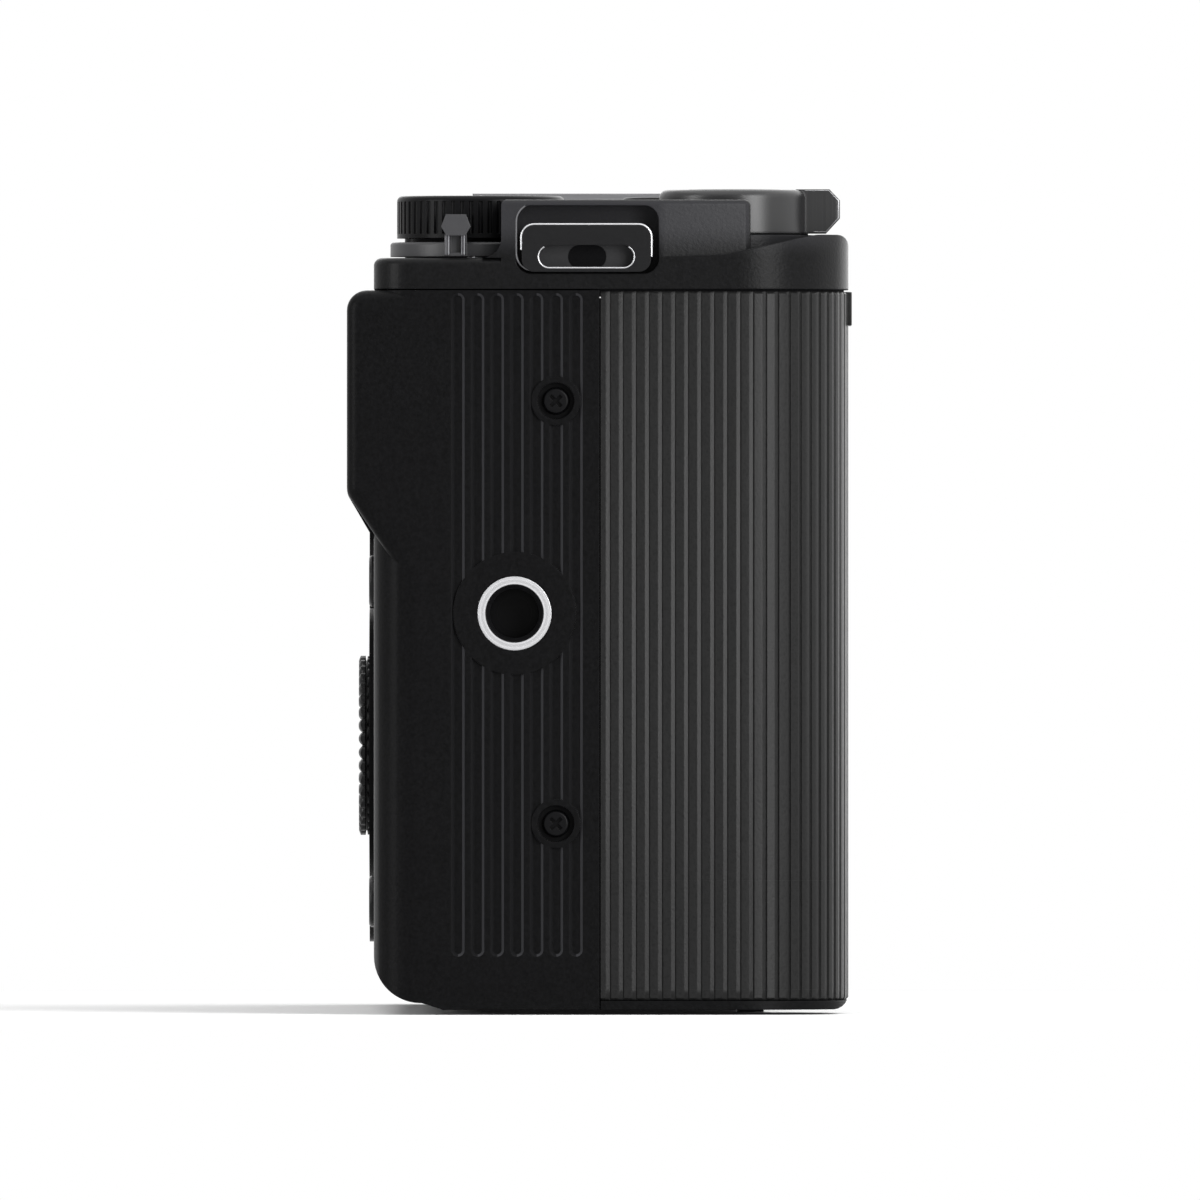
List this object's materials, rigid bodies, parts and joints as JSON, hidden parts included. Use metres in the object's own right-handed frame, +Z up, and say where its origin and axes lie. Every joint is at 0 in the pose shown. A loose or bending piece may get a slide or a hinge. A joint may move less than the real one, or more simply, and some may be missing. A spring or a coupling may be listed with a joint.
{
  "type": "mirrorless camera",
  "caption": "Mirrorless camera body with ribbed grip, open lens mount, swing-out monitor, top dials, zoom lever, accessory shoe and tripod sockets.",
  "frame": {"origin": "centre of the overall box in plan, on the surface that the camera stands on", "axes": "+Z up, the lens mount faces -Y, the grip is on the -X side, +X is the port side"},
  "size_m": [0.1194, 0.0452, 0.0737],
  "materials": {
    "cover_plastic": "fine moulded grain, black",
    "grip_rubber": "fine grain with upright ribs",
    "dial_metal": "anodised, black, satin",
    "button_plastic": "satin black",
    "record_red": "satin red ring",
    "mount_steel": "fine turned",
    "inner_black": "matt, dark",
    "chassis_alloy": "cast",
    "screw_black": "blackened",
    "contact_gold": "plated",
    "sensor_ceramic": "ceramic package on a board",
    "filter_glass": "coated",
    "board_green": "printed board",
    "battery_case": "satin, dark grey",
    "card_plastic": "dark blue",
    "shoe_steel": "polished edges",
    "lug_steel": "dark plated",
    "lamp_plastic": "clear red",
    "screen_glass": "black gloss",
    "panel_metal": "sheet",
    "spring_steel": "bright"
  },
  "bodies": {
    "camera_body": {"front_cover": "cover_plastic", "rear_cover": "cover_plastic", "top_cover": "cover_plastic", "bottom_plate": "cover_plastic", "grip_rubber": "grip_rubber", "chassis": "chassis_alloy", "mount_ring": "mount_steel", "mount_screws": "screw_black", "mount_baffle": "inner_black", "contact_block": "inner_black", "contact_pins": "contact_gold", "sensor_unit": "sensor_ceramic", "sensor_glass": "filter_glass", "shutter_frame": "inner_black", "main_board": "board_green", "battery_bay": "inner_black", "battery": "battery_case", "card_slot": "panel_metal", "base_tripod_socket": "mount_steel", "side_tripod_socket": "mount_steel", "cover_screws": "screw_black", "accessory_shoe": "shoe_steel", "grip_strap_lug": "lug_steel", "side_strap_lug": "lug_steel", "microphone_grilles": "dial_metal", "tally_lamp": "lamp_plastic", "rear_foot": "grip_rubber", "port_sockets": "inner_black", "hinge_bracket": "spring_steel", "hinge_pins": "spring_steel", "dial_shafts": "spring_steel", "rear_board": "board_green"},
    "monitor": {"monitor_shell": "cover_plastic", "monitor_panel": "panel_metal", "monitor_glass": "screen_glass", "monitor_hinge_block": "chassis_alloy"},
    "door": {"battery_door": "cover_plastic"},
    "door_latch": {"battery_door_latch": "button_plastic"},
    "lock_lever": {"battery_lock": "button_plastic"},
    "card": {"memory_card": "card_plastic"},
    "audio_flap": {"audio_cover": "cover_plastic"},
    "digital_flap": {"digital_cover": "cover_plastic"},
    "grip_flap": {"cable_flap": "grip_rubber"},
    "mode_dial_body": {"mode_dial": "dial_metal"},
    "power_lever_body": {"power_lever": "dial_metal"},
    "control_dial_body": {"control_dial": "dial_metal"},
    "zoom_lever_body": {"zoom_lever": "dial_metal"},
    "shutter_button_body": {"shutter_button": "dial_metal"},
    "top_record_body": {"top_record_button": "record_red"},
    "function_body": {"function_button": "button_plastic"},
    "front_record_body": {"front_record_button": "record_red"},
    "release_body": {"lens_release_button": "button_plastic"},
    "lock_pin_body": {"lens_lock_pin": "spring_steel"},
    "wheel_body": {"rear_wheel": "dial_metal"},
    "set_body": {"set_button": "button_plastic"},
    "menu_body": {"menu_button": "button_plastic"},
    "info_body": {"info_button": "button_plastic"},
    "playback_body": {"playback_button": "button_plastic"},
    "delete_body": {"delete_button": "button_plastic"},
    "curtain_body": {"shutter_curtain": "spring_steel"}
  },
  "joints": [
    {"name": "monitor_swing", "type": "hinge", "parent": "camera_body", "child": "monitor", "pos_m": [0.0562, 0.01805, 0.033], "axis": [0, 0, -1], "range_deg": [0, 175]},
    {"name": "battery_door_hinge", "type": "hinge", "parent": "camera_body", "child": "door", "pos_m": [-0.0309, -0.0002, 0.00105], "axis": [0, -1, 0], "range_deg": [0, 95]},
    {"name": "door_latch_slide", "type": "slide", "parent": "door", "child": "door_latch", "axis": [1, 0, 0], "range_m": [0, 0.0025]},
    {"name": "battery_lock_slide", "type": "slide", "parent": "camera_body", "child": "lock_lever", "axis": [-1, 0, 0], "range_m": [0, 0.0013], "stiffness_N_per_m": 200, "springref_m": -0.0005},
    {"name": "memory_card_push", "type": "slide", "parent": "camera_body", "child": "card", "axis": [0, 0, 1], "range_m": [0, 0.001], "stiffness_N_per_m": 300, "springref_m": -0.0003},
    {"name": "audio_cover_hinge", "type": "hinge", "parent": "camera_body", "child": "audio_flap", "pos_m": [0.0585, -0.0033, 0.0477], "axis": [0, 0, -1], "range_deg": [0, 95]},
    {"name": "digital_cover_hinge", "type": "hinge", "parent": "camera_body", "child": "digital_flap", "pos_m": [0.0585, -0.0033, 0.0253], "axis": [0, 0, -1], "range_deg": [0, 95]},
    {"name": "cable_flap_hinge", "type": "hinge", "parent": "camera_body", "child": "grip_flap", "pos_m": [-0.0439, -0.02175, 0.00275], "axis": [1, 0, 0], "range_deg": [0, 90]},
    {"name": "mode_dial_turn", "type": "hinge", "parent": "camera_body", "child": "mode_dial_body", "pos_m": [-0.0475, 0.01065, 0.0712], "axis": [0, 0, 1], "continuous": true},
    {"name": "power_lever_turn", "type": "hinge", "parent": "camera_body", "child": "power_lever_body", "pos_m": [-0.0475, 0.01065, 0.0684], "axis": [0, 0, -1], "range_deg": [0, 35]},
    {"name": "control_dial_turn", "type": "hinge", "parent": "camera_body", "child": "control_dial_body", "pos_m": [-0.029, 0.0092, 0.072], "axis": [0, 0, 1], "continuous": true},
    {"name": "zoom_lever_turn", "type": "hinge", "parent": "camera_body", "child": "zoom_lever_body", "pos_m": [-0.047, -0.0121, 0.0718], "axis": [0, 0, 1], "range_deg": [-25, 25], "stiffness_Nm_per_rad": 0.01},
    {"name": "shutter_press", "type": "slide", "parent": "camera_body", "child": "shutter_button_body", "axis": [0, 0, -1], "range_m": [0, 0.001], "stiffness_N_per_m": 400, "springref_m": -0.0005},
    {"name": "top_record_press", "type": "slide", "parent": "camera_body", "child": "top_record_body", "axis": [0, 0, -1], "range_m": [0, 0.0004], "stiffness_N_per_m": 400, "springref_m": -0.0005},
    {"name": "function_press", "type": "slide", "parent": "camera_body", "child": "function_body", "axis": [0, 0, -1], "range_m": [0, 0.0004], "stiffness_N_per_m": 400, "springref_m": -0.0005},
    {"name": "front_record_press", "type": "slide", "parent": "camera_body", "child": "front_record_body", "axis": [0, 1, 0], "range_m": [0, 0.0004], "stiffness_N_per_m": 400, "springref_m": -0.0005},
    {"name": "lens_release_press", "type": "slide", "parent": "camera_body", "child": "release_body", "axis": [0, 1, 0], "range_m": [0, 0.0015], "stiffness_N_per_m": 600, "springref_m": -0.0005},
    {"name": "lens_lock_pin_slide", "type": "slide", "parent": "camera_body", "child": "lock_pin_body", "axis": [0, 1, 0], "range_m": [0, 0.0015]},
    {"name": "rear_wheel_turn", "type": "hinge", "parent": "camera_body", "child": "wheel_body", "pos_m": [-0.0385, 0.0202, 0.02385], "axis": [0, 1, 0], "continuous": true},
    {"name": "set_press", "type": "slide", "parent": "camera_body", "child": "set_body", "axis": [0, -1, 0], "range_m": [0, 0.0004], "stiffness_N_per_m": 400, "springref_m": -0.0005},
    {"name": "menu_press", "type": "slide", "parent": "camera_body", "child": "menu_body", "axis": [0, -1, 0], "range_m": [0, 0.0004], "stiffness_N_per_m": 400, "springref_m": -0.0005},
    {"name": "info_press", "type": "slide", "parent": "camera_body", "child": "info_body", "axis": [0, -1, 0], "range_m": [0, 0.0004], "stiffness_N_per_m": 400, "springref_m": -0.0005},
    {"name": "playback_press", "type": "slide", "parent": "camera_body", "child": "playback_body", "axis": [0, -1, 0], "range_m": [0, 0.0004], "stiffness_N_per_m": 400, "springref_m": -0.0005},
    {"name": "delete_press", "type": "slide", "parent": "camera_body", "child": "delete_body", "axis": [0, -1, 0], "range_m": [0, 0.0004], "stiffness_N_per_m": 400, "springref_m": -0.0005},
    {"name": "shutter_curtain_slide", "type": "slide", "parent": "camera_body", "child": "curtain_body", "axis": [0, 0, 1], "range_m": [0, 0.0189]}
  ],
  "couplings": [
    {"joint": "lens_lock_pin_slide", "follows": "lens_release_press", "ratio": 1}
  ]
}
